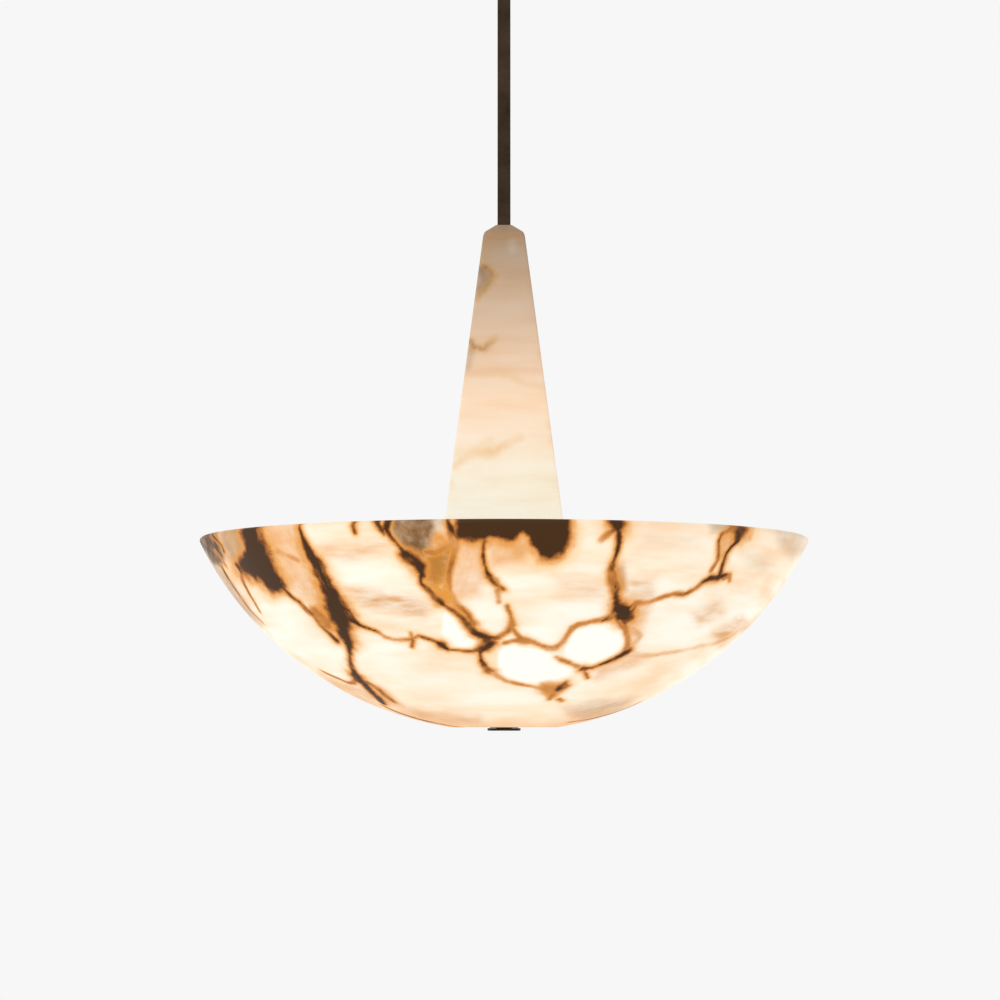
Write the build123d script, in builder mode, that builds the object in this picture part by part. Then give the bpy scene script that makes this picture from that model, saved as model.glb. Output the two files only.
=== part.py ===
from build123d import *
from math import cos, radians, sin, sqrt
import os

# Alabaster bowl pendant. Millimetres, +Z up. The origin is the middle of the ceiling face, so the
# whole lamp hangs below it: crossbar, canopy and swivel, square rod, tapered stone stem, stone bowl.

os.makedirs("parts", exist_ok=True)

# ---- Fits and clearances
running_fit = 0.05
seat_gap = 0.2
turning_gap = 0.3
stone_clearance = 0.4

# ---- Stone bowl: a cap of a sphere with a small flat foot
bowl_sphere_radius = 336.0
bowl_height = 186.0
bowl_wall = 13.0
bowl_foot_radius = 53.0
bowl_lip_outer_fillet = 3.0
bowl_lip_inner_fillet = 2.5
bowl_bore_radius = 8.0

# ---- Stone stem: a tapered square pillar with a low pyramid on top, hollow from below
stem_base_width = 122.6
stem_shoulder_width = 40.6
stem_height = 317.0
stem_wall = 12.0
stem_pyramid_height = 9.3
stem_solid_top = 45.0
stem_edge_chamfer = 1.2
stem_foot_below_rim = 12.0

# ---- Square rod
rod_width = 13.0
rod_wall = 1.5
rod_corner_radius = 0.7
rod_exposed_length = 300.0

# ---- Threaded tubes and hexagon nuts
tube_radius = 5.0
tube_bore_radius = 3.0
nut_flats = 17.0
nut_height = 5.0

# ---- Ceiling crossbar
crossbar_length = 122.0
crossbar_width = 25.0
crossbar_thickness = 2.5
crossbar_end_chamfer = 4.0
wire_hole_radius = 9.0
box_slot_spacing = 76.0
box_slot_length = 22.0
box_slot_width = 5.0

# ---- Canopy and its two screws
canopy_radius = 70.0
canopy_depth = 28.0
canopy_wall = 1.8
canopy_edge_bevel = 6.0
canopy_ceiling_gap = 0.5
canopy_screw_spacing = 110.0
canopy_screw_radius = 2.0
canopy_screw_head_radius = 4.5
canopy_screw_head_height = 2.6

# ---- Wiring in the canopy
terminal_length = 20.0
terminal_width = 11.0
terminal_height = 11.0
terminal_ways = 3
terminal_port = 3.4
terminal_port_depth = 8.0
terminal_offset = 18.0
earth_screw_radius = 2.0
earth_head_radius = 3.6
earth_head_height = 2.4
earth_screw_offset = 18.0

# ---- Hang-straight swivel
collar_radius = 14.0
collar_height = 6.0
swivel_nut_radius = 7.2
swivel_nut_height = 4.0
nipple_end_allowance = 1.0
yoke_plate = 4.5
yoke_cheek = 3.6
yoke_depth = 18.0
knuckle_width = 14.8
knuckle_eye_radius = 8.0
pin_radius = 3.0
pin_head_radius = 4.8
pin_head_height = 1.6
neck_length = 12.0
plug_length = 20.0
wire_way_radius = 2.8
wire_exit_height = 3.0

# ---- Rod coupling inside the stone
coupling_width = 20.0
coupling_length = 32.0
coupling_socket_depth = 14.0
set_screw_radius = 2.0

# ---- Stem carrier plate
pad_side = 12.0
pad_thickness = 1.0
plate_width = 116.0
plate_thickness = 4.0
plate_corner_radius = 8.0
plate_hub_radius = 17.0
plate_spoke_width = 16.0
plate_rim_width = 14.0
tab_length = 22.0
tab_height = 12.0
tab_thickness = 2.5

# ---- Lamp cluster: a square box with a square arm on each side
lamp_count = 4
lamp_tilt = 15.0
cluster_width = 40.0
cluster_depth = 24.0
cluster_wall = 3.0
cluster_cover_thickness = 2.5
cluster_edge_chamfer = 1.0
arm_width = 8.0
arm_wall = 1.0
arm_length = 46.0
holder_width = 23.0
holder_thickness = 15.0
holder_length = 20.0
holder_corner_chamfer = 3.0
holder_grip_depth = 6.0
lamp_pin_spacing = 9.0
lamp_pin_width = 2.6
lamp_pin_thickness = 1.0
lamp_pin_length = 7.0
lamp_base_width = 15.0
lamp_base_thickness = 9.0
lamp_base_length = 9.0
lamp_radius = 8.5
lamp_length = 40.0
lamp_end_chamfer = 3.0

# ---- Supply lead and the window where it leaves the central tube
supply_lead_radius = 2.5
tube_window_width = 4.0
tube_window_height = 10.0

# ---- Bowl fixing
spacer_width = 16.0
spacer_wall = 1.5
spacer_length = 42.0
washer_radius = 30.0
washer_thickness = 2.5
upper_gasket_radius = 32.0
gasket_thickness = 1.5
lower_gasket_radius = 14.0
lower_gasket_thickness = 0.6
finial_radius = 16.4
finial_thickness = 2.6
finial_edge_chamfer = 0.6
finial_neck_length = 10.0

# ---- Levels, from the ceiling down
strap_bottom_z = -crossbar_thickness
canopy_floor_z = -canopy_depth + canopy_wall
nipple_top_z = canopy_floor_z + nut_height + nipple_end_allowance
collar_top_z = -canopy_depth
yoke_top_z = collar_top_z - collar_height - turning_gap
swivel_nut_top_z = yoke_top_z - yoke_plate - turning_gap
nipple_bottom_z = swivel_nut_top_z - swivel_nut_height - nipple_end_allowance
pivot_z = nipple_bottom_z - 2 * turning_gap - knuckle_eye_radius
rod_top_z = pivot_z - neck_length
stem_apex_z = rod_top_z - rod_exposed_length
stem_shoulder_z = stem_apex_z - stem_pyramid_height
stem_base_z = stem_shoulder_z - stem_height
cavity_top_z = stem_shoulder_z - stem_solid_top
coupling_top_z = cavity_top_z - 2 * turning_gap
rod_bottom_z = coupling_top_z - coupling_socket_depth
coupling_bottom_z = coupling_top_z - coupling_length
plate_top_z = stem_base_z - pad_thickness
plate_bottom_z = plate_top_z - plate_thickness
bowl_rim_z = stem_base_z + stem_foot_below_rim
bowl_bottom_z = bowl_rim_z - bowl_height
gasket_top_z = bowl_bottom_z + bowl_wall + gasket_thickness
washer_top_z = gasket_top_z + washer_thickness
cluster_bottom_z = washer_top_z + spacer_length
cluster_top_z = cluster_bottom_z + cluster_depth
cover_top_z = cluster_top_z + cluster_cover_thickness
finial_top_z = bowl_bottom_z - lower_gasket_thickness - seat_gap
finial_bottom_z = finial_top_z - finial_thickness
tube_bottom_z = finial_bottom_z + finial_thickness / 2
tube_top_z = rod_bottom_z - seat_gap

# ---- Widths that follow from the sizes above
fork_gap = knuckle_width + 2 * turning_gap
yoke_width = fork_gap + 2 * yoke_cheek
rod_inner_width = rod_width - 2 * rod_wall
plug_width = rod_inner_width - 2 * running_fit
stem_taper = (stem_base_width - stem_shoulder_width) / stem_height
cavity_base_width = stem_base_width - 2 * stem_wall
cavity_top_width = stem_shoulder_width - 2 * stem_wall + stem_taper * stem_solid_top


def level(z):
    return Plane.XY.offset(z)


def profile_plane(z):
    # Upright plane through the axis: x runs outwards and y runs up from the given height.
    return Plane(origin=(0, 0, z), x_dir=(1, 0, 0), z_dir=(0, -1, 0))


def save(piece, name):
    piece.part.label = name
    export_step(piece.part, f"parts/{name}.step")


# ---- Crossbar: flat strap on the ceiling box, slotted for the box's screws
with BuildPart() as mounting_crossbar:
    with BuildSketch(level(0)):
        Rectangle(crossbar_length, crossbar_width)
        chamfer(vertices(), crossbar_end_chamfer)
        Circle(wire_hole_radius, mode=Mode.SUBTRACT)
        with Locations((-box_slot_spacing / 2, 0), (box_slot_spacing / 2, 0)):
            SlotOverall(box_slot_length, box_slot_width, mode=Mode.SUBTRACT)
        with GridLocations(canopy_screw_spacing, canopy_screw_spacing, 2, 1):
            Circle(canopy_screw_radius + running_fit, mode=Mode.SUBTRACT)
        with Locations((-earth_screw_offset, 0)):
            Circle(earth_screw_radius + running_fit, mode=Mode.SUBTRACT)
    extrude(amount=-crossbar_thickness)
save(mounting_crossbar, "mounting_crossbar")

# ---- Earth screw, from below into the strap
with BuildPart() as earth_screw:
    with BuildSketch(level(strap_bottom_z)):
        with Locations((-earth_screw_offset, 0)):
            RegularPolygon(earth_head_radius, 6)
    extrude(amount=-earth_head_height)
    with BuildSketch(level(strap_bottom_z)):
        with Locations((-earth_screw_offset, 0)):
            Circle(earth_screw_radius)
    extrude(amount=crossbar_thickness)
save(earth_screw, "earth_screw")

# ---- Terminal block under the strap, a row of square ports on its outer side
terminal_pitch = terminal_length / terminal_ways
with BuildPart() as terminal_block:
    with BuildSketch(level(strap_bottom_z)):
        with Locations((terminal_offset, 0)):
            Rectangle(terminal_width, terminal_length)
    extrude(amount=-terminal_height)
    with BuildSketch(Plane.YZ.offset(terminal_offset + terminal_width / 2)):
        with Locations((0, strap_bottom_z - terminal_height / 2)):
            with GridLocations(terminal_pitch, terminal_pitch, terminal_ways, 1):
                Rectangle(terminal_port, terminal_port)
    extrude(amount=-terminal_port_depth, mode=Mode.SUBTRACT)
save(terminal_block, "terminal_block")

# ---- Canopy: a turned cup with a bevelled edge, open towards the ceiling
with BuildPart() as canopy:
    with BuildSketch(level(-canopy_ceiling_gap)):
        Circle(canopy_radius)
    extrude(amount=canopy_ceiling_gap - canopy_depth)
    chamfer(canopy.faces().sort_by(Axis.Z)[0].edges(), canopy_edge_bevel)
    offset(amount=-canopy_wall, openings=canopy.faces().sort_by(Axis.Z)[-1])
    with BuildSketch(level(-canopy_depth)):
        Circle(tube_radius + running_fit)
        with GridLocations(canopy_screw_spacing, canopy_screw_spacing, 2, 1):
            Circle(canopy_screw_radius + running_fit)
    extrude(amount=canopy_wall, mode=Mode.SUBTRACT)
save(canopy, "canopy")

# ---- Canopy screws: through the canopy's floor up into the strap
with BuildPart() as canopy_screws:
    with BuildSketch(level(-canopy_depth)):
        with GridLocations(canopy_screw_spacing, canopy_screw_spacing, 2, 1):
            Circle(canopy_screw_head_radius)
    extrude(amount=-canopy_screw_head_height)
    chamfer(canopy_screws.faces().group_by(Axis.Z)[0].edges(), canopy_screw_head_height / 2)
    with BuildSketch(level(-canopy_depth)):
        with GridLocations(canopy_screw_spacing, canopy_screw_spacing, 2, 1):
            Circle(canopy_screw_radius)
    extrude(amount=canopy_depth)
save(canopy_screws, "canopy_screws")

# ---- Nipple: hollow threaded tube that hangs the lamp from the canopy's floor
with BuildPart() as mounting_nipple:
    with BuildSketch(level(nipple_top_z)):
        Circle(tube_radius)
        Circle(tube_bore_radius, mode=Mode.SUBTRACT)
    extrude(amount=nipple_bottom_z - nipple_top_z)
save(mounting_nipple, "mounting_nipple")


def hexagon_nut(top_z):
    with BuildPart() as nut:
        with BuildSketch(level(top_z)):
            RegularPolygon(nut_flats / 2, 6, major_radius=False)
            Circle(tube_radius + running_fit, mode=Mode.SUBTRACT)
        extrude(amount=-nut_height)
    return nut


nipple_nut = hexagon_nut(canopy_floor_z + nut_height)
save(nipple_nut, "nipple_nut")

# ---- Swivel collar: threaded ring that clamps the canopy's floor against the nipple's nut
with BuildPart() as swivel_collar:
    with BuildSketch(level(collar_top_z)):
        Circle(collar_radius)
    extrude(amount=-collar_height)
    chamfer(swivel_collar.faces().sort_by(Axis.Z)[0].edges(), collar_height / 3)
    with BuildSketch(level(collar_top_z)):
        Circle(tube_radius + running_fit)
    extrude(amount=-collar_height, mode=Mode.SUBTRACT)
save(swivel_collar, "swivel_collar")

# ---- Swivel yoke: a fork that turns on the nipple, its cheeks rounded about the cross pin
with BuildPart() as swivel_yoke:
    with BuildSketch(Plane.YZ):
        with Locations((0, pivot_z)):
            Circle(yoke_depth / 2)
            Rectangle(yoke_depth, yoke_top_z - pivot_z, align=(Align.CENTER, Align.MIN))
    extrude(amount=yoke_width / 2, both=True)
    with BuildSketch(profile_plane(yoke_top_z - yoke_plate)):
        Rectangle(fork_gap, yoke_top_z - pivot_z + yoke_depth, align=(Align.CENTER, Align.MAX))
    extrude(amount=yoke_depth, both=True, mode=Mode.SUBTRACT)
    with BuildSketch(level(yoke_top_z)):
        Circle(tube_radius + running_fit)
    extrude(amount=-yoke_plate, mode=Mode.SUBTRACT)
    with BuildSketch(Plane.YZ):
        with Locations((0, pivot_z)):
            Circle(pin_radius + running_fit)
    extrude(amount=yoke_width, both=True, mode=Mode.SUBTRACT)
save(swivel_yoke, "swivel_yoke")

# ---- Swivel nut: round nut on the end of the nipple, inside the fork
with BuildPart() as swivel_nut:
    with BuildSketch(level(swivel_nut_top_z)):
        Circle(swivel_nut_radius)
        Circle(tube_radius + running_fit, mode=Mode.SUBTRACT)
    extrude(amount=-swivel_nut_height)
save(swivel_nut, "swivel_nut")

# ---- Swivel pin: riveted through both cheeks
with BuildPart() as swivel_pin:
    with BuildSketch(Plane.YZ):
        with Locations((0, pivot_z)):
            Circle(pin_radius)
    extrude(amount=yoke_width / 2 + pin_head_height, both=True)
    for side in (-1, 1):
        with BuildSketch(Plane.YZ.offset(side * yoke_width / 2)):
            with Locations((0, pivot_z)):
                Circle(pin_head_radius)
        extrude(amount=side * pin_head_height)
save(swivel_pin, "swivel_pin")

# ---- Rod knuckle: eye between the cheeks, neck as wide as the rod, and a plug inside the rod
with BuildPart() as rod_knuckle:
    with BuildSketch(Plane.YZ):
        with Locations((0, pivot_z)):
            Circle(knuckle_eye_radius)
    extrude(amount=knuckle_width / 2, both=True)
    with BuildSketch(level(pivot_z)):
        Rectangle(rod_width, rod_width)
    extrude(amount=rod_top_z - pivot_z)
    with BuildSketch(level(rod_top_z)):
        Rectangle(plug_width, plug_width)
    extrude(amount=-plug_length)
    with BuildSketch(Plane.YZ):
        with Locations((0, pivot_z)):
            Circle(pin_radius + running_fit)
    extrude(amount=knuckle_width, both=True, mode=Mode.SUBTRACT)
    with BuildSketch(level(rod_top_z - plug_length)):
        Circle(wire_way_radius)
    extrude(amount=plug_length + wire_exit_height, mode=Mode.SUBTRACT)
    with BuildSketch(Plane.XZ):
        with Locations((0, rod_top_z)):
            Rectangle(2 * wire_way_radius, wire_exit_height, align=(Align.CENTER, Align.MIN))
    extrude(amount=-rod_width, mode=Mode.SUBTRACT)
save(rod_knuckle, "rod_knuckle")

# ---- Down rod: square tube from the knuckle's neck into the coupling inside the stone
with BuildPart() as down_rod:
    with BuildSketch(level(rod_top_z)):
        RectangleRounded(rod_width, rod_width, rod_corner_radius)
        Rectangle(rod_inner_width, rod_inner_width, mode=Mode.SUBTRACT)
    extrude(amount=rod_bottom_z - rod_top_z)
save(down_rod, "down_rod")

# ---- Rod coupling: square block, socket for the rod above and threaded bore below
socket_half = rod_width / 2 + running_fit
coupling_screw_z = coupling_top_z - coupling_socket_depth / 2
with BuildPart() as rod_coupling:
    with BuildSketch(level(coupling_top_z)):
        Rectangle(coupling_width, coupling_width)
    extrude(amount=-coupling_length)
    with BuildSketch(level(coupling_top_z)):
        Rectangle(2 * socket_half, 2 * socket_half)
    extrude(amount=-coupling_socket_depth, mode=Mode.SUBTRACT)
    with BuildSketch(level(coupling_bottom_z)):
        Circle(tube_radius + running_fit)
    extrude(amount=coupling_length, mode=Mode.SUBTRACT)
    with BuildSketch(Plane.XZ):
        with Locations((0, coupling_screw_z)):
            Circle(set_screw_radius + running_fit)
    extrude(amount=-coupling_width, mode=Mode.SUBTRACT)
save(rod_coupling, "rod_coupling")

# ---- Set screw: through the coupling's back wall against the rod
with BuildPart() as set_screw:
    with BuildSketch(Plane.XZ.offset(-socket_half)):
        with Locations((0, coupling_screw_z)):
            Circle(set_screw_radius)
    extrude(amount=-(coupling_width / 2 - socket_half))
save(set_screw, "set_screw")

# ---- Stone stem: tapered pillar, low pyramid, hollow from below, square hole for the rod
rod_hole_width = rod_width + 2 * stone_clearance
stem_foot = (stem_base_z, stem_base_width)
stem_shoulder = (stem_shoulder_z, stem_shoulder_width)
stem_apex = (stem_apex_z, rod_hole_width + 2 * stem_edge_chamfer)
with BuildPart() as alabaster_stem:
    for lower, upper in ((stem_foot, stem_shoulder), (stem_shoulder, stem_apex)):
        for z, width in (lower, upper):
            with BuildSketch(level(z)):
                Rectangle(width, width)
                chamfer(vertices(), stem_edge_chamfer)
        loft(ruled=True)
    with BuildSketch(level(stem_base_z)):
        Rectangle(cavity_base_width, cavity_base_width)
    with BuildSketch(level(cavity_top_z)):
        Rectangle(cavity_top_width, cavity_top_width)
    loft(ruled=True, mode=Mode.SUBTRACT)
    with BuildSketch(level(cavity_top_z)):
        Rectangle(rod_hole_width, rod_hole_width)
    extrude(amount=stem_apex_z - cavity_top_z, mode=Mode.SUBTRACT)
save(alabaster_stem, "alabaster_stem")

# ---- Stem carrier plate: rim, hub and cross, with four upright tabs that centre the stone
light_side = plate_width / 2 - plate_rim_width - plate_spoke_width / 2
light_centre = plate_spoke_width / 2 + light_side / 2
tab_offset = cavity_base_width / 2 - stone_clearance - stem_taper * tab_height / 2 - tab_thickness / 2
with BuildPart() as stem_base_plate:
    with BuildSketch(level(plate_top_z)):
        RectangleRounded(plate_width, plate_width, plate_corner_radius)
        with GridLocations(2 * light_centre, 2 * light_centre, 2, 2):
            Rectangle(light_side, light_side, mode=Mode.SUBTRACT)
        Circle(plate_hub_radius)
        Circle(tube_radius + running_fit, mode=Mode.SUBTRACT)
    extrude(amount=-plate_thickness)
    with BuildSketch(level(plate_top_z)):
        with Locations((tab_offset, 0), (-tab_offset, 0)):
            Rectangle(tab_thickness, tab_length)
        with Locations((0, tab_offset), (0, -tab_offset)):
            Rectangle(tab_length, tab_thickness)
    extrude(amount=tab_height)
save(stem_base_plate, "stem_base_plate")

# ---- Rubber pads at the corners of the plate
pad_offset = stem_base_width / 2 - stem_wall / 2 - pad_side / 4
with BuildPart() as stem_pads:
    with BuildSketch(level(plate_top_z)):
        with GridLocations(2 * pad_offset, 2 * pad_offset, 2, 2):
            Rectangle(pad_side, pad_side)
    extrude(amount=pad_thickness)
save(stem_pads, "stem_pads")

stem_locknut = hexagon_nut(plate_bottom_z)
save(stem_locknut, "stem_locknut")

# ---- Central tube: threaded from coupling to finial, with a window where the leads come out
cluster_middle_z = cluster_bottom_z + cluster_depth / 2
with BuildPart() as central_tube:
    with BuildSketch(level(tube_top_z)):
        Circle(tube_radius)
        Circle(tube_bore_radius, mode=Mode.SUBTRACT)
    extrude(amount=tube_bottom_z - tube_top_z)
    with BuildSketch(Plane.YZ):
        with Locations((0, cluster_middle_z)):
            Rectangle(tube_window_width, tube_window_height)
    extrude(amount=tube_radius, mode=Mode.SUBTRACT)
save(central_tube, "central_tube")

# ---- Supply lead: straight down the rod and the tube to that window
with BuildPart() as supply_lead:
    with BuildSketch(level(rod_top_z)):
        Circle(supply_lead_radius)
    extrude(amount=cluster_middle_z - rod_top_z)
save(supply_lead, "supply_lead")


def lamp_plane(index, distance):
    # Plane square to a lamp's own axis, at a distance from the middle of the cluster.
    angle = radians(index * 360 / lamp_count)
    rise = radians(lamp_tilt)
    outward = (cos(angle) * cos(rise), sin(angle) * cos(rise), sin(rise))
    sideways = (-sin(angle), cos(angle), 0)
    origin = (0, 0, cluster_middle_z)
    return Plane(origin=origin, x_dir=sideways, z_dir=outward).offset(distance)


# ---- Cluster body: square box, open above, with a square hole for each arm
with BuildPart() as cluster_body:
    with BuildSketch(level(cluster_bottom_z)):
        Rectangle(cluster_width, cluster_width)
        chamfer(vertices(), cluster_edge_chamfer)
    extrude(amount=cluster_depth)
    with BuildSketch(level(cluster_top_z)):
        Rectangle(cluster_width - 2 * cluster_wall, cluster_width - 2 * cluster_wall)
    extrude(amount=cluster_wall - cluster_depth, mode=Mode.SUBTRACT)
    with BuildSketch(level(cluster_bottom_z)):
        Circle(tube_radius + running_fit)
    extrude(amount=cluster_wall, mode=Mode.SUBTRACT)
    for index in range(lamp_count):
        with BuildSketch(lamp_plane(index, 0)):
            Rectangle(arm_width + 2 * running_fit, arm_width + 2 * running_fit)
        extrude(amount=cluster_width, mode=Mode.SUBTRACT)
save(cluster_body, "cluster_body")

with BuildPart() as cluster_cover:
    with BuildSketch(level(cluster_top_z)):
        Rectangle(cluster_width, cluster_width)
        chamfer(vertices(), cluster_edge_chamfer)
    extrude(amount=cluster_cover_thickness)
    chamfer(cluster_cover.faces().sort_by(Axis.Z)[-1].edges(), cluster_edge_chamfer)
    with BuildSketch(level(cluster_top_z)):
        Circle(tube_radius + running_fit)
    extrude(amount=cluster_cover_thickness, mode=Mode.SUBTRACT)
save(cluster_cover, "cluster_cover")

cluster_nut = hexagon_nut(cover_top_z + nut_height)
save(cluster_nut, "cluster_nut")

# ---- Four lamps, each on its own arm: square tube, ceramic lampholder and push-in lamp
arm_start = cluster_width / 2 - 2 * cluster_wall
holder_start = arm_start + arm_length - holder_grip_depth
holder_face = holder_start + holder_length
lamp_start = holder_face + seat_gap
for index in range(lamp_count):
    number = index + 1
    lamp_axis = Axis((0, 0, cluster_middle_z), lamp_plane(index, 0).z_dir)
    with BuildPart() as lamp_arm:
        with BuildSketch(lamp_plane(index, arm_start)):
            Rectangle(arm_width, arm_width)
            Rectangle(arm_width - 2 * arm_wall, arm_width - 2 * arm_wall, mode=Mode.SUBTRACT)
        extrude(amount=arm_length)
    save(lamp_arm, f"lamp_arm_{number}")

    with BuildPart() as lampholder:
        with BuildSketch(lamp_plane(index, holder_start)):
            Rectangle(holder_width, holder_thickness)
            chamfer(vertices(), holder_corner_chamfer)
        extrude(amount=holder_length)
        with BuildSketch(lamp_plane(index, holder_start)):
            Rectangle(arm_width + 2 * running_fit, arm_width + 2 * running_fit)
        extrude(amount=holder_grip_depth, mode=Mode.SUBTRACT)
        with BuildSketch(lamp_plane(index, holder_face)):
            with GridLocations(lamp_pin_spacing, lamp_pin_spacing, 2, 1):
                Rectangle(lamp_pin_width + 2 * seat_gap, lamp_pin_thickness + 2 * seat_gap)
        extrude(amount=-lamp_pin_length - seat_gap, mode=Mode.SUBTRACT)
    save(lampholder, f"lampholder_{number}")

    with BuildPart() as lamp:
        with BuildSketch(lamp_plane(index, lamp_start)):
            Rectangle(lamp_base_width, lamp_base_thickness)
        extrude(amount=lamp_base_length)
        with BuildSketch(lamp_plane(index, lamp_start + lamp_base_length)):
            Circle(lamp_radius)
        extrude(amount=lamp_length)
        chamfer(lamp.faces().sort_by(lamp_axis)[-1].edges(), lamp_end_chamfer)
        with BuildSketch(lamp_plane(index, lamp_start)):
            with GridLocations(lamp_pin_spacing, lamp_pin_spacing, 2, 1):
                Rectangle(lamp_pin_width, lamp_pin_thickness)
        extrude(amount=-lamp_pin_length)
    save(lamp, f"lamp_{number}")

# ---- Spacer: square tube between the bowl's washer and the cluster
with BuildPart() as spacer_tube:
    with BuildSketch(level(washer_top_z)):
        Rectangle(spacer_width, spacer_width)
        Rectangle(spacer_width - 2 * spacer_wall, spacer_width - 2 * spacer_wall, mode=Mode.SUBTRACT)
    extrude(amount=spacer_length)
save(spacer_tube, "spacer_tube")


def ring(bottom_z, outer_radius, inner_radius, thickness):
    with BuildPart() as flat_ring:
        with BuildSketch(level(bottom_z)):
            Circle(outer_radius)
            Circle(inner_radius, mode=Mode.SUBTRACT)
        extrude(amount=thickness)
    return flat_ring


steel_washer = ring(gasket_top_z, washer_radius, tube_radius + seat_gap, washer_thickness)
save(steel_washer, "steel_washer")

upper_gasket = ring(
    bowl_bottom_z + bowl_wall, upper_gasket_radius, bowl_bore_radius, gasket_thickness
)
save(upper_gasket, "upper_gasket")


# ---- Stone bowl: turned outside and inside to two spheres about one centre
sphere_height = sqrt(bowl_sphere_radius**2 - bowl_foot_radius**2)


def point_on_sphere(radius, height):
    return (sqrt(radius**2 - (sphere_height - height) ** 2), height)


inner_sphere_radius = bowl_sphere_radius - bowl_wall
outer_foot = (bowl_foot_radius, 0)
outer_middle = point_on_sphere(bowl_sphere_radius, bowl_height / 3)
outer_rim = point_on_sphere(bowl_sphere_radius, bowl_height)
inner_rim = point_on_sphere(inner_sphere_radius, bowl_height)
inner_middle = point_on_sphere(inner_sphere_radius, bowl_height / 3)
inner_foot = point_on_sphere(inner_sphere_radius, bowl_wall)

with BuildPart() as alabaster_bowl:
    with BuildSketch(profile_plane(bowl_bottom_z)):
        with BuildLine():
            Line((bowl_bore_radius, 0), outer_foot)
            ThreePointArc(outer_foot, outer_middle, outer_rim)
            Line(outer_rim, inner_rim)
            ThreePointArc(inner_rim, inner_middle, inner_foot)
            Line(inner_foot, (bowl_bore_radius, bowl_wall))
            Line((bowl_bore_radius, bowl_wall), (bowl_bore_radius, 0))
        make_face()
        lip_corners = vertices().group_by(Axis.Y)[-1].sort_by(Axis.X)
        fillet(lip_corners[-1], bowl_lip_outer_fillet)
        lip_corners = vertices().group_by(Axis.Y)[-1].sort_by(Axis.X)
        fillet(lip_corners[0], bowl_lip_inner_fillet)
    revolve(axis=Axis.Z)
save(alabaster_bowl, "alabaster_bowl")

lower_gasket = ring(
    bowl_bottom_z - lower_gasket_thickness, lower_gasket_radius, bowl_bore_radius, lower_gasket_thickness
)
save(lower_gasket, "lower_gasket")

# ---- Finial: disc nut with a threaded neck that rises into the bowl's bore
finial_neck_radius = bowl_bore_radius - seat_gap
with BuildPart() as finial:
    with BuildSketch(level(finial_bottom_z)):
        Circle(finial_radius)
    extrude(amount=finial_thickness)
    chamfer(finial.faces().sort_by(Axis.Z)[0].edges(), finial_edge_chamfer)
    with BuildSketch(level(finial_top_z)):
        Circle(finial_neck_radius)
    extrude(amount=finial_neck_length)
    with BuildSketch(level(tube_bottom_z - seat_gap)):
        Circle(tube_radius + running_fit)
    extrude(amount=finial_thickness + finial_neck_length, mode=Mode.SUBTRACT)
save(finial, "finial")
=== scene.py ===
import math

import bpy
import numpy as np
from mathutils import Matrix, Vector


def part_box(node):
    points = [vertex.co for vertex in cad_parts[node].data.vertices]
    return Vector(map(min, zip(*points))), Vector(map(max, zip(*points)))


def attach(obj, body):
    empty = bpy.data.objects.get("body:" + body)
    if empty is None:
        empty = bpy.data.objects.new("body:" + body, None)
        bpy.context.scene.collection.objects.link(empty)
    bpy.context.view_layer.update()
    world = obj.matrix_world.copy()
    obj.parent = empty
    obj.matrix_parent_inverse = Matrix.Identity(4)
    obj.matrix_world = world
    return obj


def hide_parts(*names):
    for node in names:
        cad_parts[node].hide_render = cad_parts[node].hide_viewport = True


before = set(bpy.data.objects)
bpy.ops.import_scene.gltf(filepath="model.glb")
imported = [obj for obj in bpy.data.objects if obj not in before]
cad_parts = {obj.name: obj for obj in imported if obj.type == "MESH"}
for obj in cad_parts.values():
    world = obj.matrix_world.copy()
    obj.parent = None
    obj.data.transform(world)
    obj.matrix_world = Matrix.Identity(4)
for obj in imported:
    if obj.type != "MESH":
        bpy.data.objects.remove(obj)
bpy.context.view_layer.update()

# ---- Viewpoint
# The lamp hangs three metres from the eye, which is level with the bowl's foot and looks a little
# upwards. The finial and the stem's point in the picture fix the pitch and the lens.
MM = 0.001
bowl_low, bowl_high = (np.array(corner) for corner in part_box("alabaster_bowl"))
view_distance = 3.0
view_side = -4 * MM
view_drop = 2 * MM
view_pitch = math.radians(4.335)
sensor_width = 36.0
picture_size = 1000.0
focal_pixels = 3025.0
view_reach = 50.0
eye = np.array([view_side, -view_distance, bowl_low[2] - view_drop])
view_forward = np.array([0.0, math.cos(view_pitch), math.sin(view_pitch)])
view_up = np.array([0.0, -math.sin(view_pitch), math.cos(view_pitch)])
view_right = np.array([1.0, 0.0, 0.0])

camera_data = bpy.data.cameras.new("camera")
camera_data.sensor_width = sensor_width
camera_data.lens = focal_pixels * sensor_width / picture_size
camera_data.clip_end = view_reach
camera = bpy.data.objects.new("camera", camera_data)
camera.location = eye
camera.rotation_euler = (math.pi / 2 + view_pitch, 0.0, 0.0)
bpy.context.collection.objects.link(camera)
bpy.context.scene.camera = camera

# ---- Light, background and floor
# A white room with one large soft lamp in front and above, so that a colour renders about as it is
# written. The floor lies well below the lamp, fades out at its edge and can't be seen from below.
background_white = "#F7F7F7"
room_strength = 0.62
key_strength = 46.0
key_size = 2.4
key_colour = (1.0, 0.985, 0.96)
key_place = (-1.6, -2.6, 1.2)
key_target = (0.0, 0.0, -0.6)
floor_drop = 1.2
floor_radius = 4.0
floor_fade_start = 0.55
floor_fade_end = 0.98
floor_centre = 0.002
floor_lift = 0.28
floor_rings = 12
floor_spokes = 64


def linear(hex_colour):
    """Linear RGBA from an sRGB hex colour."""
    channels = [int(hex_colour[i:i + 2], 16) / 255 for i in (1, 3, 5)]
    return [c / 12.92 if c <= 0.04045 else ((c + 0.055) / 1.055) ** 2.4 for c in channels] + [1.0]


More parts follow.
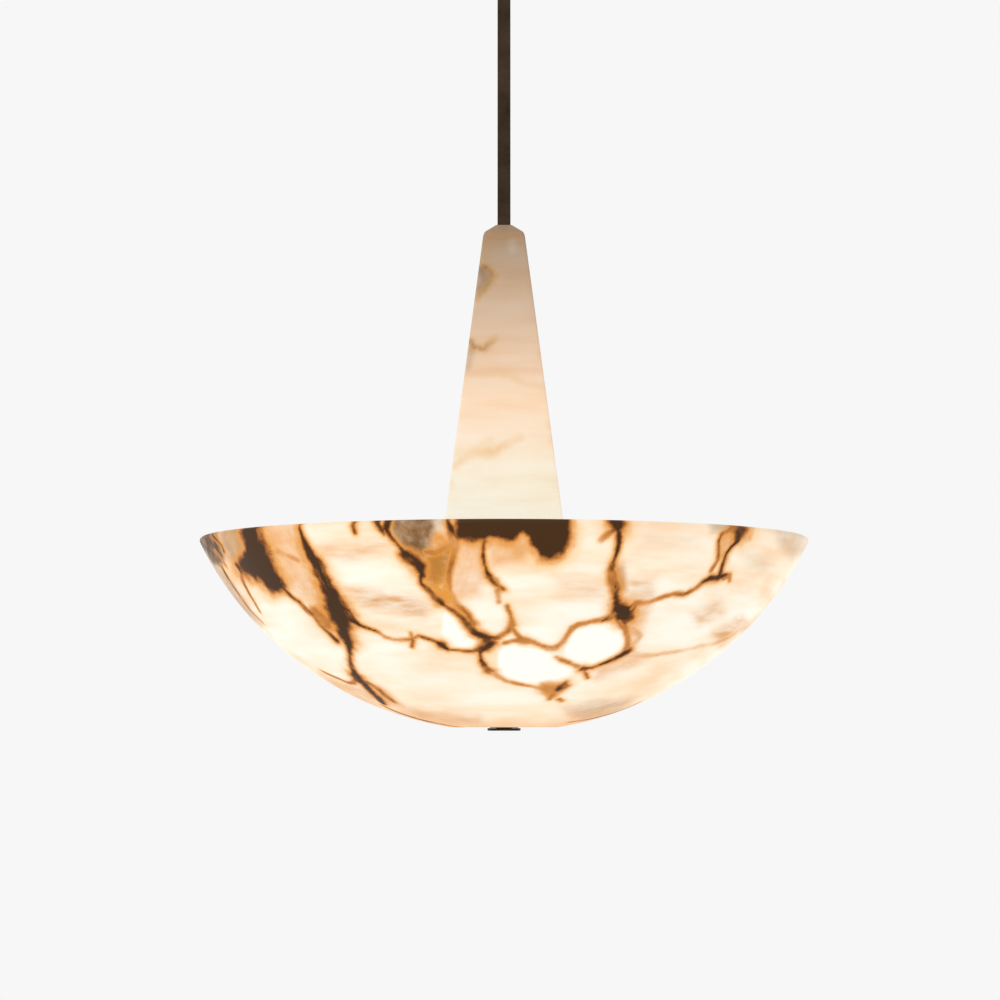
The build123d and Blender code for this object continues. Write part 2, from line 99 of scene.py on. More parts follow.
def add(tree, kind, inputs=None, stops=None, out=None, **settings):
    """Adds one node to a tree. Kind is the shader node's type, settings are its own properties, inputs
    are values or the sockets that feed it, and stops are a colour ramp's places and hex colours or
    grey levels. Gives back the node, or the output that is asked for."""
    node = tree.nodes.new("ShaderNode" + kind)
    for name, value in settings.items():
        setattr(node, name, value)
    for name, value in (inputs or {}).items():
        if isinstance(value, bpy.types.NodeSocket):
            tree.links.new(value, node.inputs[name])
        else:
            node.inputs[name].default_value = linear(value) if isinstance(value, str) else value
    for index, (place, colour) in enumerate(stops or ()):
        elements = node.color_ramp.elements
        element = elements[index] if index < 2 else elements.new(place)
        element.position = place
        element.color = linear(colour) if isinstance(colour, str) else (colour, colour, colour, 1.0)
    return node if out is None else node.outputs[out]


def new_material(name):
    """A node material with an empty tree."""
    material = bpy.data.materials.new(name)
    material.use_nodes = True
    material.node_tree.nodes.clear()
    return material, material.node_tree


def surface(name, points, faces, material, body, smooth_angle=35.0):
    """A piece from its points and quads, in place, riding on its body and named for its finish."""
    mesh = bpy.data.meshes.new(name)
    mesh.from_pydata(points.tolist(), [], faces.tolist())
    mesh.materials.append(material)
    mesh.polygons.foreach_set("use_smooth", np.ones(len(mesh.polygons), bool))
    mesh.set_sharp_from_angle(angle=math.radians(smooth_angle))
    piece = bpy.data.objects.new(name, mesh)
    bpy.context.collection.objects.link(piece)
    if body:
        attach(piece, body)
    return piece


def grid_faces(rows, columns, close_rows=False, close_columns=False):
    """Quads of a grid of points, row by row, optionally joined end to end either way."""
    row = np.arange(rows if close_rows else rows - 1)[:, None]
    column = np.arange(columns if close_columns else columns - 1)[None, :]
    next_row, next_column = (row + 1) % rows, (column + 1) % columns
    corners = [row * columns + column, row * columns + next_column,
               next_row * columns + next_column, next_row * columns + column]
    shape = (len(row), column.shape[1])
    return np.stack([np.broadcast_to(corner, shape) for corner in corners], -1).reshape(-1, 4)


world = bpy.data.worlds.new("white_room")
world.use_nodes = True
bpy.context.scene.world = world
sky = world.node_tree
sky.nodes.clear()
# The background shows to camera, glossy and transmission rays; the room's light is all the others'.
path = add(sky, "LightPath")
seen = add(sky, "Math", {0: path.outputs["Is Camera Ray"], 1: path.outputs["Is Glossy Ray"]},
           out=0, operation="MAXIMUM")
seen = add(sky, "Math", {0: seen, 1: path.outputs["Is Transmission Ray"]}, out=0, operation="MAXIMUM")
room = add(sky, "Background", {"Color": "#FFFFFF", "Strength": room_strength}, out=0)
shown = add(sky, "Background", {"Color": background_white, "Strength": 1.0}, out=0)
choice = add(sky, "MixShader", {0: seen, 1: room, 2: shown}, out=0)
add(sky, "OutputWorld", {"Surface": choice})

key_data = bpy.data.lights.new("key_lamp", "AREA")
key_data.energy = key_strength
key_data.size = key_size
key_data.color = key_colour
key_lamp = bpy.data.objects.new("key_lamp", key_data)
key_lamp.location = key_place
# It shines straight down until it is tipped and turned towards its target.
key_x, key_y, key_z = np.array(key_target) - np.array(key_place)
key_lamp.rotation_euler = (math.atan2(math.hypot(key_x, key_y), -key_z), 0.0,
                           math.atan2(key_y, key_x) - math.pi / 2)
bpy.context.collection.objects.link(key_lamp)

# Matt pale floor paint. Its edge fades to the room, and its underside lets the view through.
floor_material, tree = new_material("matt_floor_paint")
place = add(tree, "TexCoord", out="Object")
grain = add(tree, "TexNoise", {"Vector": place, "Scale": 3.0, "Detail": 3.0}, out="Fac")
tint = add(tree, "ValToRGB", {"Fac": grain}, stops=[(0.3, "#F2F2F1"), (0.7, "#F5F5F5")], out="Color")
paint = add(tree, "BsdfDiffuse", {"Color": tint}, out=0)
# To the eye alone the paint is lifted to the room's white, and no other ray carries that light.
watched = add(tree, "LightPath", out="Is Camera Ray")
lift = add(tree, "Math", {0: watched, 1: floor_lift}, out=0, operation="MULTIPLY")
lifted = add(tree, "Emission", {"Color": "#FFFFFF", "Strength": lift}, out=0)
paint = add(tree, "AddShader", {0: paint, 1: lifted}, out=0)
flat = add(tree, "VectorMath", {0: place, 1: (1.0, 1.0, 0.0)}, out=0, operation="MULTIPLY")
reach = add(tree, "VectorMath", {0: flat}, out="Value", operation="LENGTH")
fade = add(tree, "MapRange", {"Value": reach, "From Min": floor_fade_start * floor_radius,
                              "From Max": floor_fade_end * floor_radius},
           out=0, interpolation_type="SMOOTHSTEP")
below = add(tree, "NewGeometry", out="Backfacing")
clear_part = add(tree, "Math", {0: fade, 1: below}, out=0, operation="MAXIMUM")
clear = add(tree, "BsdfTransparent", out=0)
blend = add(tree, "MixShader", {0: clear_part, 1: paint, 2: clear}, out=0)
add(tree, "OutputMaterial", {"Surface": blend})

spoke = np.linspace(0, -2 * math.pi, floor_spokes, endpoint=False)
floor_radii = np.linspace(floor_centre, floor_radius, floor_rings)
floor_points = np.stack([np.outer(floor_radii, np.cos(spoke)), np.outer(floor_radii, np.sin(spoke)),
                         np.full((floor_rings, floor_spokes), bowl_low[2] - floor_drop)],
                        -1).reshape(-1, 3)
floor = surface("floor", floor_points, grid_faces(floor_rings, floor_spokes, close_columns=True),
                floor_material, None)

# ---- Ceiling fixing
# A zinc-plated steel strap and nipple, an earth screw of brass and a moulded terminal block, all
# hidden by a spun canopy of darkened brass that two screws of the same finish hold up.


def mottled(name, dark, light, grain_size, roughness, metallic=0.0, bump=0.0):
    """A finish whose colour wanders between two hex values over spots of grain_size metres, with its
    roughness between the two values given and an optional bump of the same grain."""
    material, tree = new_material(name)
    place = add(tree, "TexCoord", out="Object")
    grain = add(tree, "TexNoise", {"Vector": place, "Scale": 1 / grain_size, "Detail": 4.0,
                                   "Roughness": 0.6}, out="Fac")
    colour = add(tree, "ValToRGB", {"Fac": grain}, stops=[(0.3, dark), (0.72, light)], out="Color")
    rough = add(tree, "MapRange", {"Value": grain, "From Min": 0.3, "From Max": 0.7,
                                   "To Min": roughness[0], "To Max": roughness[1]}, out=0)
    shader = add(tree, "BsdfPrincipled", {"Base Color": colour, "Roughness": rough,
                                          "Metallic": metallic})
    if bump:
        relief = add(tree, "Bump", {"Height": grain, "Strength": 0.35, "Distance": bump}, out="Normal")
        tree.links.new(relief, shader.inputs["Normal"])
    add(tree, "OutputMaterial", {"Surface": shader.outputs[0]})
    return material


def finish_nodes(material, *names):
    """These CAD pieces take this material."""
    for name in names:
        for material_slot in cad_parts[name].material_slots:
            material_slot.material = material


# Darkened waxed brass: almost black brown, with lighter clouds of patina about 25 mm across.
darkened_brass = mottled("darkened_waxed_brass", "#291F12", "#3D3123", 25 * MM, (0.38, 0.52),
                         metallic=0.9)
# Zinc plate: pale grey with a fine crystal mottle of about 2 mm.
zinc_plate = mottled("bright_zinc_plate", "#A9ADAE", "#CDD0CF", 2 * MM, (0.28, 0.42), metallic=1.0)
# Turned brass: yellow, slightly tarnished in patches of 3 mm.
turned_brass = mottled("turned_brass", "#B08A3E", "#D2AE62", 3 * MM, (0.25, 0.4), metallic=1.0)
# Moulded nylon: off-white with the faint skin of a mould.
moulded_nylon = mottled("moulded_nylon", "#E2E0D8", "#EAE8E1", 0.8 * MM, (0.4, 0.5), bump=0.04 * MM)
finish_nodes(zinc_plate, "mounting_crossbar", "mounting_nipple", "nipple_nut")
finish_nodes(turned_brass, "earth_screw")
finish_nodes(moulded_nylon, "terminal_block")
finish_nodes(darkened_brass, "canopy", "canopy_screws")

# ---- Hang-straight swivel and rod
# Collar, fork, cross pin, eye and the square rod are brass, darkened and waxed like the canopy. The
# round nut inside the fork is zinc-plated.
finish_nodes(darkened_brass, "swivel_collar", "swivel_yoke", "swivel_pin", "rod_knuckle", "down_rod")
finish_nodes(zinc_plate, "swivel_nut")

# ---- Stone stem
# A tapered square pillar sawn from one block and polished, with a low pyramid on top and a square
# hole for the rod. It is hollow from below, so its foot glows and its top stays unlit tan.
stem_low, stem_high = (np.array(corner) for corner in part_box("alabaster_stem"))
stem_pyramid = 9.3 * MM
stem_shoulder_width = 40.6 * MM
stem_wall = 12 * MM
stem_solid_top = 45 * MM
stem_corner = 2 * MM
shoulder_bend = 5 * MM
rod_hole_width = 13.8 * MM
hole_rim = 1.2 * MM
stem_base_width = stem_high[0] - stem_low[0]
stem_shoulder_z = stem_high[2] - stem_pyramid
stem_taper = (stem_base_width - stem_shoulder_width) / (stem_shoulder_z - stem_low[2])
cavity_top_z = stem_shoulder_z - stem_solid_top
cavity_top_width = stem_shoulder_width - 2 * stem_wall + stem_taper * stem_solid_top
side_steps, corner_steps = 36, 4
# A vein's stain reaches this far from its edge: a base, and a share of its half width. Distances are
# told in shares of that reach, up to a limit, and where veins meet, tones blend over a small share.
stain_base = 5 * MM
stain_growth = 1.5
share_limit = 9.0
stain_limit = 2.0
tone_blend = 0.12


def square_ring(width, corner):
    """A square of this width with rounded corners, anticlockwise: each side runs straight between its
    corners, and each corner is a quarter circle of the given radius."""
    flat = width / 2 - corner
    side = np.stack([np.full(side_steps, width / 2), np.linspace(-flat, flat, side_steps)], -1)
    turn = np.linspace(0, math.pi / 2, corner_steps + 2)[1:-1]
    bend = np.stack([flat + corner * np.cos(turn), flat + corner * np.sin(turn)], -1)
    quarter = np.concatenate([side, bend])
    quarter_turn = np.array([[0, 1], [-1, 0]])
    return np.concatenate([quarter @ np.linalg.matrix_power(quarter_turn, count) for count in range(4)])


def between(first, last, count):
    """Count levels from the first towards the last, which is left out. A level is a height, a width
    and a corner radius."""
    share = np.arange(count)[:, None] / count
    return np.array(first) + share * (np.array(last) - np.array(first))


def bend_over(first, corner, last, count):
    """Levels on a parabola from the first to the last that turns at the corner: the first, the corner
    and the last weigh the square of what is left, twice what is left by the share, and its square."""
    share = np.arange(count)[:, None] / count
    first, corner, last = np.array(first), np.array(corner), np.array(last)
    return (1 - share) ** 2 * first + 2 * share * (1 - share) * corner + share ** 2 * last


apex_width = rod_hole_width + 2 * hole_rim
pyramid_slope = (stem_shoulder_width - apex_width) / stem_pyramid
foot_level = (stem_low[2], stem_base_width, stem_corner)
below_shoulder = (stem_shoulder_z - shoulder_bend,
                  stem_shoulder_width + stem_taper * shoulder_bend, stem_corner)
shoulder_level = (stem_shoulder_z, stem_shoulder_width, stem_corner)
above_shoulder = (stem_shoulder_z + shoulder_bend / 3,
                  stem_shoulder_width - pyramid_slope * shoulder_bend / 3, stem_corner)
apex_level = (stem_high[2], apex_width, hole_rim)
hole_level = (stem_high[2], rod_hole_width, hole_rim / 4)
hole_foot = (cavity_top_z, rod_hole_width, hole_rim / 4)
cavity_top = (cavity_top_z, cavity_top_width, hole_rim)
cavity_foot = (stem_low[2], stem_base_width - 2 * stem_wall, hole_rim)
stem_levels = np.concatenate([
    between(foot_level, below_shoulder, 120),
    bend_over(below_shoulder, shoulder_level, above_shoulder, 6),
    between(above_shoulder, apex_level, 7),
    between(apex_level, hole_level, 1),
    between(hole_level, hole_foot, 6),
    between(hole_foot, cavity_top, 3),
    between(cavity_top, cavity_foot, 24),
    between(cavity_foot, foot_level, 3),
])
stem_rings = [square_ring(width, corner) for _, width, corner in stem_levels]
stem_points = np.stack([np.column_stack([ring, np.full(len(ring), level)])
                        for ring, level in zip(stem_rings, stem_levels[:, 0])]).reshape(-1, 3)


def sight_lines(picture_points):
    """Unit directions from the eye through points of the picture: one step forward along the view,
    plus the offset right of the middle and up from it, each divided by the focal length."""
    points = np.asarray(picture_points, float)
    across = (points[:, 0] - picture_size / 2) / focal_pixels
    upward = (picture_size / 2 - points[:, 1]) / focal_pixels
    lines = view_forward + across[:, None] * view_right + upward[:, None] * view_up
    return lines / np.linalg.norm(lines, axis=1)[:, None]


def on_stem_front(picture_points):
    """Points where sight lines meet the stem's sloping front face, a plane through the foot's front
    edge that leans back by half the taper."""
    lines = sight_lines(picture_points)
    normal = np.array([0.0, -1.0, stem_taper / 2])
    edge_point = np.array([0.0, -stem_base_width / 2, stem_low[2]])
    distance = ((edge_point - eye) @ normal) / (lines @ normal)
    return eye + distance[:, None] * lines


def stroke_share(points, line, half_widths, base=stain_base):
    """How far points lie from a stroke, as a share of its stain's reach: 0 on the stroke's edge, 1
    where the stain ends, below 0 inside. It is the least over the line's pieces, with the half width
    running evenly along each piece."""
    share = np.full(len(points), share_limit)
    pieces = zip(line[:-1], line[1:], half_widths[:-1], half_widths[1:])
    for start, end, start_width, end_width in pieces:
        step = end - start
        along_step = np.clip((points - start) @ step / max(step @ step, 1e-12), 0, 1)
        away = np.linalg.norm(points - start - along_step[:, None] * step, axis=1)
        half = start_width + along_step * (end_width - start_width)
        share = np.minimum(share, (away - half) / (base + stain_growth * half))
    return share


def vein_fields(shares, tones):
    """The stain field is the least of the veins' shares. The tone field is the mean of their tones,
    each weighed by an exponential of how much further off its vein is than the nearest."""
    shares = np.array(shares)
    least = shares.min(axis=0)
    weights = np.exp((least - shares) / tone_blend)
    tone = (weights * np.array(tones)[:, None]).sum(axis=0) / weights.sum(axis=0)
    return {"stain": np.minimum(least, stain_limit), "tone": tone}


def soft_patch(gap, softness, strength):
    """A patch that fades over the softness about its outline, from a strength inside to 0 outside: the
    strength times the square of the share inside times three less twice that share."""
    inside = np.clip(0.5 - gap / softness, 0, 1)
    return strength * inside * inside * (3 - 2 * inside)


patch_kinds = ("clear", "brown", "amber", "shade")


def store_fields(piece, fields):
    """Writes the stain, the tone and the kinds of patch onto the piece's points, zero where it has
    none of a kind."""
    count = len(piece.data.vertices)
    for name in ("stain", "tone") + patch_kinds:
        values = np.full(count, fields.get(name, 0.0), np.float32)
        piece.data.attributes.new(name, "FLOAT", "POINT").data.foreach_set("value", values)


def alabaster(name, glow_strength, albedo, clouds, body_stops, light_stops, reach, bands):
    """Translucent stone lit from within. Clouds of cream and peach lie in level streaks, and each vein
    is made of bands from its wide halo to its core: a colour, the shares where the band ends and is
    full, the tones where it starts and is full, and how strong it gets. What is seen is about half lit
    stone and half light that comes through, so one colour feeds both sockets."""
    material, tree = new_material(name)
    place = add(tree, "TexCoord", out="Object")
    height = add(tree, "SeparateXYZ", {0: place}, out=2)
    rise = add(tree, "MapRange", {"Value": height, "From Min": reach[0], "From Max": reach[1]}, out=0)

    # Level clouds about 90 mm long and 18 mm high.
    level_place = add(tree, "Mapping", {"Vector": place, "Scale": (1.0, 1.0, 5.0)}, out=0)
    cloud = add(tree, "TexNoise", {"Vector": level_place, "Scale": 11.0, "Detail": 5.0,
                                   "Roughness": 0.52}, out="Fac")
    colour = add(tree, "ValToRGB", {"Fac": cloud}, stops=clouds, out="Color")
    body = add(tree, "ValToRGB", {"Fac": rise}, stops=body_stops, out="Color")
    colour = add(tree, "Mix", {0: 1.0, 6: colour, 7: body}, out=2, data_type="RGBA",
                 blend_type="MULTIPLY")

    # Patches of clear, streaked, stained and brown stone. The clear ones are painted near white, a
    # painted glow where more light comes through. Each is thinned by spots about 17 mm across or by
    # level streaks about 30 mm long and 6 mm high.
    torn = add(tree, "TexNoise", {"Vector": place, "Scale": 60.0, "Detail": 5.0, "Roughness": 0.7},
               out="Fac")
    streak = add(tree, "TexNoise", {"Vector": level_place, "Scale": 34.0, "Detail": 4.0}, out="Fac")
    patches = []
    for kind, hex_colour, texture, thin, thick in (
            ("clear", "#FFFFF4", torn, 0.9, 1.1), ("shade", "#DDA468", streak, 0.35, 1.3),
            ("amber", "#E0963F", torn, 0.6, 1.3), ("brown", "#5E3E1C", torn, 0.75, 1.2)):
        amount = add(tree, "Attribute", out="Fac", attribute_name=kind)
        tear = add(tree, "MapRange", {"Value": texture, "From Min": 0.32, "From Max": 0.68,
                                      "To Min": thin, "To Max": thick}, out=0)
        amount = add(tree, "Math", {0: amount, 1: tear}, out=0, operation="MULTIPLY")
        patches.append((hex_colour, amount))

    # Veins: the stain's share wanders over 33 mm, which thins and swells them, and over 10 mm, which
    # makes their edges ragged.
    share = add(tree, "Attribute", out="Fac", attribute_name="stain")
    for scale, detail, height_of in ((30.0, 2.0, 0.8), (95.0, 5.0, 0.75)):
        wander = add(tree, "TexNoise", {"Vector": place, "Scale": scale, "Detail": detail,
                                        "Roughness": 0.62}, out="Fac")
        wander = add(tree, "MapRange", {"Value": wander, "To Min": -height_of / 2,
                                        "To Max": height_of / 2}, out=0)
        share = add(tree, "Math", {0: share, 1: wander}, out=0, operation="ADD")
    # A thin vein's tone is patchy over 22 mm, and a thick one stays dark inside.
    tone = add(tree, "Attribute", out="Fac", attribute_name="tone")
    patchy = add(tree, "TexNoise", {"Vector": place, "Scale": 45.0, "Detail": 3.0}, out="Fac")
    patchy = add(tree, "MapRange", {"Value": patchy, "From Min": 0.3, "From Max": 0.7,
                                    "To Min": 0.5, "To Max": 1.25}, out=0)
    inner = add(tree, "MapRange", {"Value": share, "From Min": -0.05, "From Max": -0.4}, out=0)
    patchy = add(tree, "Math", {0: patchy, 1: inner}, out=0, operation="MAXIMUM")
    tone = add(tree, "Math", {0: tone, 1: patchy}, out=0, operation="MULTIPLY")
    stains = []
    for hex_colour, ends, full, from_tone, to_tone, most in bands:
        band = add(tree, "MapRange", {"Value": share, "From Min": ends, "From Max": full},
                   out=0, interpolation_type="SMOOTHSTEP")
        depth = add(tree, "MapRange", {"Value": tone, "From Min": from_tone, "From Max": to_tone,
                                       "To Max": most}, out=0)
        amount = add(tree, "Math", {0: band, 1: depth}, out=0, operation="MULTIPLY")
        stains.append((hex_colour, amount))
    # The wide halo lies under the stained and brown patches, the narrower bands over them.
    for hex_colour, amount in patches[:2] + stains[:1] + patches[2:] + stains[1:]:
        colour = add(tree, "Mix", {0: amount, 6: colour, 7: hex_colour}, out=2, data_type="RGBA")

    # Painted glow: the lamps' light that comes through the stone is drawn as the stone's own emission.
    # The light stops dim its colour along the height.
    light = add(tree, "ValToRGB", {"Fac": rise}, stops=light_stops, out="Color")
    glow = add(tree, "Mix", {0: 1.0, 6: colour, 7: light}, out=2, data_type="RGBA",
               blend_type="MULTIPLY")
    lit = add(tree, "Mix", {0: 1.0, 6: colour, 7: (albedo, albedo, albedo, 1.0)}, out=2,
              data_type="RGBA", blend_type="MULTIPLY")
    # A polished face with a faint uneven grain of 4 mm.
    grain = add(tree, "TexNoise", {"Vector": place, "Scale": 260.0, "Detail": 3.0}, out="Fac")
    relief = add(tree, "Bump", {"Height": grain, "Strength": 0.12, "Distance": 0.3 * MM}, out="Normal")
    shader = add(tree, "BsdfPrincipled", {
        "Base Color": lit, "Roughness": 0.48, "Specular IOR Level": 0.15, "Normal": relief,
        "Emission Color": glow, "Emission Strength": glow_strength}, out=0)
    add(tree, "OutputMaterial", {"Surface": shader})
    return material


def wandering_line(rng, start, heading, steps, stride, turn):
    """A flat line that starts at a place and heading and bends by a random turn at each stride."""
    headings = heading + np.cumsum(rng.normal(0, turn, steps))
    moves = stride * np.stack([np.cos(headings), np.sin(headings)], -1)
    return np.concatenate([[start], start + np.cumsum(moves, axis=0)])


# Deep in the unlit stone a vein looks blurred, so its stain reaches further.
stem_stain = 8 * MM
# Faint veins of the front face: points of the picture, half widths in millimetres, and a tone.
stem_strokes = [
    ([(484, 266), (490, 270), (493, 276), (490, 284), (483, 291), (476, 297)],
     [0.4, 0.9, 1.2, 0.9, 0.5, 0.3], 0.6),
    ([(470, 342), (475, 347), (484, 349), (490, 344), (495, 339)], [0.7, 1.0, 0.6, 0.4, 0.1], 0.7),
    ([(464, 375), (480, 374), (496, 373), (510, 376), (524, 383), (545, 387)],
     [0.1, 0.2, 0.3, 0.4, 0.4, 0.2], 0.22),
    ([(455, 466), (463, 460), (474, 452), (486, 451), (494, 452), (500, 446), (520, 438)],
     [0.2, 0.4, 0.8, 1.1, 0.8, 0.4, 0.1], 0.36),
    ([(480, 452), (484, 445), (490, 441), (494, 448)], [0.2, 0.4, 0.3, 0.1], 0.18),
    ([(485, 242), (488, 250), (482, 262)], [0.2, 0.3, 0.2], 0.22),
]
# Patches of the front face: kind, picture points, half widths and softness in millimetres, strength.
stem_patches = [
    ("brown", [(481, 270), (485, 279), (478, 290)], [4, 5, 2], 9, 0.42),
    ("brown", [(470, 352), (468, 368)], [4, 2], 10, 0.3),
    ("shade", [(484, 236), (520, 236)], [9, 9], 16, 0.5),
    ("clear", [(512, 241), (513, 249)], [3, 3], 12, 0.35),
]
stem_veins = [(on_stem_front(line), np.array(widths) * MM, tone) for line, widths, tone in stem_strokes]
# Five faint veins across each other face, laid out flat on the front and then turned about the axis.
stem_rng = np.random.default_rng(7)
for quarter in (1, 2, 3):
    turn = quarter * math.pi / 2
    about_axis = np.array([[math.cos(turn), math.sin(turn), 0],
                           [-math.sin(turn), math.cos(turn), 0],
                           [0, 0, 1]])
    for _ in range(5):
        rise = stem_rng.uniform(0.05, 0.95) * (stem_shoulder_z - stem_low[2])
        half = (stem_base_width - stem_taper * rise) / 2
        heading = stem_rng.uniform(-0.5, 0.6)
        flat = wandering_line(stem_rng, np.array([-half, rise]), heading,
                              steps=7, stride=half / 3.2, turn=0.35)
        front = (stem_taper * flat[:, 1] - stem_base_width) / 2
        line = np.column_stack([flat[:, 0], front, stem_low[2] + flat[:, 1]])
        widths = stem_rng.uniform(0.2, 1.1, len(line)) * MM
        stem_veins.append((line @ about_axis, widths, stem_rng.uniform(0.1, 0.4)))
stem_fields = vein_fields(
    [stroke_share(stem_points, line, widths, stem_stain) for line, widths, _ in stem_veins],
    [tone for _, _, tone in stem_veins])
for kind, line, widths, softness, strength in stem_patches:
    reach_share = stroke_share(stem_points, on_stem_front(line), np.array(widths) * MM)
    gap = reach_share * (stain_base + stain_growth * np.mean(widths) * MM)
    stem_fields[kind] = np.maximum(stem_fields.get(kind, 0.0), soft_patch(gap, softness * MM, strength))

stem_clouds = [(0.3, "#F9EDE0"), (0.5, "#FDF8F1"), (0.7, "#FFFFFF")]
# The stone's tan shows at the unlit top. Towards the glowing foot its colour is painted paler, nearly
# white, as painted light along with the glow.
stem_body = [(0.0, "#EEF0E6"), (0.2, "#F6F2E1"), (0.43, "#FFE6CC"),
             (0.62, "#FFE2C6"), (0.92, "#E6C9AC"), (1.0, "#D6BA9D")]
stem_light = [(0.0, 1.0), (0.28, 1.0), (0.45, 0.95), (0.62, 0.58), (0.78, 0.36), (0.92, 0.12),
              (1.0, 0.05)]
stem_bands = [("#EFBE7E", 0.9, -0.1, 0.0, 0.5, 0.75), ("#B8834F", 0.55, -0.1, 0.36, 0.8, 0.8),
              ("#7A5638", 0.22, -0.1, 0.45, 0.9, 0.85)]
stem_stone = alabaster("sawn_alabaster_stem", glow_strength=0.5, albedo=0.55, clouds=stem_clouds,
                       body_stops=stem_body, light_stops=stem_light,
                       reach=(stem_low[2], stem_high[2]), bands=stem_bands)
stem = surface("alabaster_stem_stone", stem_points,
               grid_faces(len(stem_levels), len(stem_rings[0]), close_rows=True, close_columns=True),
               stem_stone, "pendant")
store_fields(stem, stem_fields)
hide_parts("alabaster_stem")

# ---- Stem carrier
# The square coupling, threaded tube and locknut are zinc-plated steel. The plate that carries the
# stone is powder-coated, with rubber pads at its corners, and the supply lead runs down the middle.
# Powder coat: warm white with a soft orange peel of about 1.5 mm.
powder_coat = mottled("white_powder_coat", "#E9E4D8", "#F1EDE3", 1.5 * MM, (0.42, 0.5), bump=0.1 * MM)
# EPDM rubber: dull black with a fine grain.
epdm_rubber = mottled("epdm_rubber", "#1B1B1B", "#262626", 0.6 * MM, (0.75, 0.9), bump=0.04 * MM)
# PVC sheath: black, smooth and a little shiny.
pvc_sheath = mottled("pvc_sheath", "#1E1E1E", "#2A2A2A", 4 * MM, (0.4, 0.5))
finish_nodes(zinc_plate, "rod_coupling", "set_screw", "central_tube", "stem_locknut")
finish_nodes(powder_coat, "stem_base_plate")
finish_nodes(epdm_rubber, "stem_pads")
finish_nodes(pvc_sheath, "supply_lead")

# ---- Lamp cluster
# A powder-coated box and cover with four square arms, a fired lampholder on each and a frosted lamp
# pushed into it. The box hangs on the tube by a zinc-plated nut.
arm_names = sorted(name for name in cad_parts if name.startswith("lamp_arm_"))
holder_names = sorted(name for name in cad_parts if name.startswith("lampholder_"))
lamp_names = sorted(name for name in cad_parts
                    if name.startswith("lamp_") and name not in arm_names)
# Fired steatite: cream, with a dry uneven skin of about 1 mm.
fired_steatite = mottled("fired_steatite", "#E0DBCD", "#ECE8DC", 1.0 * MM, (0.3, 0.45), bump=0.05 * MM)
finish_nodes(powder_coat, "cluster_body", "cluster_cover", *arm_names)
finish_nodes(zinc_plate, "cluster_nut")
finish_nodes(fired_steatite, *holder_names)

# Frosted glass: an acid-etched tube lit from within, warm white with a faint grain of 1.5 mm.
frosted_glass, tree = new_material("frosted_lamp_glass")
place = add(tree, "TexCoord", out="Object")
etch = add(tree, "TexNoise", {"Vector": place, "Scale": 700.0, "Detail": 2.0}, out="Fac")
glow = add(tree, "ValToRGB", {"Fac": etch}, stops=[(0.3, "#FFE9C4"), (0.7, "#FFF4DE")], out="Color")
glass = add(tree, "BsdfPrincipled", {"Base Color": glow, "Roughness": 0.55, "Emission Color": glow,
                                     "Emission Strength": 1.6}, out=0)
add(tree, "OutputMaterial", {"Surface": glass})
finish_nodes(frosted_glass, *lamp_names)

# ---- Stone bowl
# One block turned outside and inside to two spheres about the same centre, with a softened lip, a
# small flat foot and a bore for the finial, then polished. The lamps behind it light it through.
bowl_sphere = 336 * MM
bowl_wall = 13 * MM
bowl_foot = 53 * MM
bowl_bore = 8 * MM
lip_outer = 3 * MM
lip_inner = 2.5 * MM
bowl_height = bowl_high[2] - bowl_low[2]
centre_rise = math.sqrt(bowl_sphere ** 2 - bowl_foot ** 2)
bowl_centre = np.array([0.0, 0.0, bowl_low[2] + centre_rise])
bowl_columns = 620
bowl_rows = 118


def along(count, low, high, density):
    """Count places from low to high, closer together where the density function is larger."""
    fine = np.linspace(low, high, 2000)
    total = np.concatenate([[0.0], np.cumsum((density(fine[1:]) + density(fine[:-1])) / 2)])
    return np.interp(np.linspace(0, total[-1], count), total, fine)


def lip_corner(fillet, distance):
    """Radius of a lip fillet's centre and its angle from straight down, for a fillet that touches the
    rim plane from below and has its centre at this distance from the spheres' centre."""
    down = centre_rise - bowl_height + fillet
    return math.sqrt(distance ** 2 - down ** 2), math.acos(down / distance)


def arc(radius, centre_radius, centre_height, angles):
    """Profile points of an arc: outwards by the sine and down by the cosine of the angle."""
    return np.stack([centre_radius + radius * np.sin(angles),
                     centre_height - radius * np.cos(angles)], -1)


inner_sphere = bowl_sphere - bowl_wall
outer_centre, outer_touch = lip_corner(lip_outer, bowl_sphere - lip_outer)
inner_centre, inner_touch = lip_corner(lip_inner, inner_sphere + lip_inner)
foot_angle = math.asin(bowl_foot / bowl_sphere)
floor_angle = math.acos((centre_rise - bowl_wall) / inner_sphere)
profile = np.concatenate([
    np.stack([np.linspace(bowl_bore, bowl_foot, 7)[:-1], np.zeros(6)], -1),
    arc(bowl_sphere, 0.0, centre_rise,
        along(bowl_rows, foot_angle, outer_touch, lambda angle: 0.45 + np.sin(angle))),
    arc(lip_outer, outer_centre, bowl_height - lip_outer, np.linspace(outer_touch, math.pi, 6)[1:]),
    arc(lip_inner, inner_centre, bowl_height - lip_inner,
        np.linspace(math.pi, math.pi + inner_touch, 5)[:-1]),
    arc(inner_sphere, 0.0, centre_rise, np.linspace(inner_touch, floor_angle, 22)),
    np.stack([np.linspace(inner_sphere * math.sin(floor_angle), bowl_bore, 4)[1:],
              np.full(3, bowl_wall)], -1),
])
azimuths = along(bowl_columns + 1, -math.pi, math.pi,
                 lambda azimuth: 0.35 + np.maximum(np.cos(azimuth), 0.0))[:-1]
bowl_points = np.stack([np.outer(profile[:, 0], np.sin(azimuths)),
                        np.outer(profile[:, 0], -np.cos(azimuths)),
                        np.repeat(bowl_low[2] + profile[:, 1:], bowl_columns, axis=1)],
                       -1).reshape(-1, 3)
outward = bowl_points - bowl_centre
